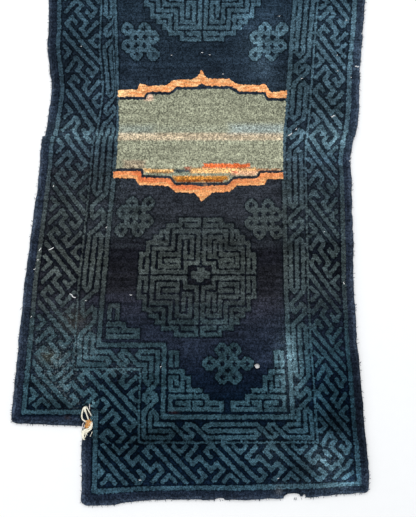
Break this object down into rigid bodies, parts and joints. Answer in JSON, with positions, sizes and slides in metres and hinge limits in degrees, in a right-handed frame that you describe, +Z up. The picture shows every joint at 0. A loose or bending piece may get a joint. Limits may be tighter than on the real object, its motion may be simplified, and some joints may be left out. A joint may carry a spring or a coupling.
{
  "type": "saddle rug",
  "caption": "Long flat pile rug of two half panels joined across the middle, each with a cut-out corner, worn, torn and holed at one end.",
  "frame": {"origin": "middle of the rug's outline, on the surface it lies on", "axes": "+X across the rug to the right as the picture shows it, +Y along it towards the half that the picture cuts off, +Z up through the pile"},
  "size_m": [0.6656, 1.3052, 0.0123],
  "materials": {
    "pile": "knotted wool pile, indigo navy with a lighter teal-blue design and a grey-green seat edged in salmon",
    "warp": "bare cream cotton warp ends with tan wool fluff"
  },
  "bodies": {
    "root": {"lower_panel": "pile", "upper_panel": "pile", "torn_warps": "warp"}
  },
  "joints": []
}
